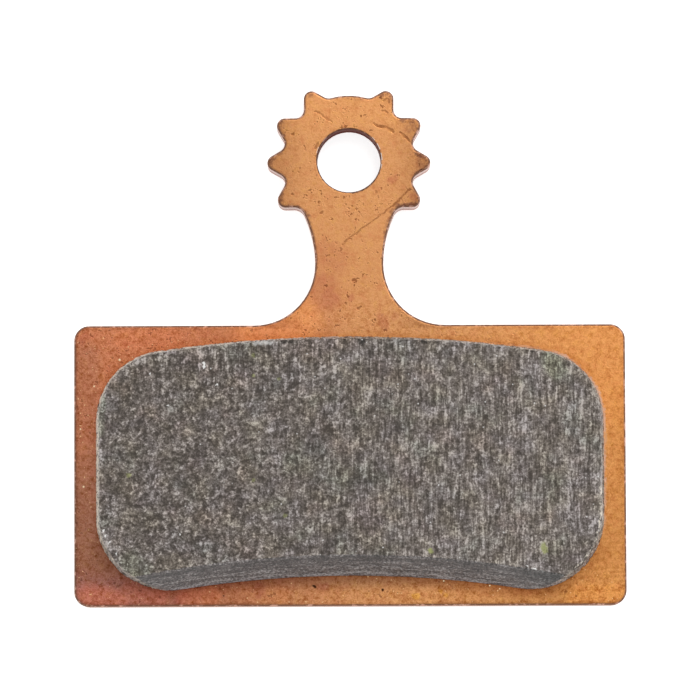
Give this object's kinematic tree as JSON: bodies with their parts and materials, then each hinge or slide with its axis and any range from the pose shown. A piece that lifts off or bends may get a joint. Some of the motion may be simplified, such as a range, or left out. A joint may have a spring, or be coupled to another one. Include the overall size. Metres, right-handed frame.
{
  "type": "bicycle disc brake pad",
  "caption": "Flat brake pad for a bicycle disc caliper: a copper-plated steel backing plate with a toothed hanging head and pin hole, and a curved sintered friction block bonded to its front.",
  "frame": {"origin": "axis of the pin hole, in the back face of the plate", "axes": "+Z out of the friction face towards the rotor, +Y from the body up to the toothed head, +X across the body"},
  "size_m": [0.0294, 0.0276, 0.004],
  "materials": {
    "copper_plated_steel": "steel sheet with a satin copper plating, mottled and lightly scratched",
    "sintered_compound": "grainy sintered metal, ground flat on the face"
  },
  "bodies": {
    "root": {"backing_plate": "copper_plated_steel", "friction_block": "sintered_compound"}
  },
  "joints": []
}
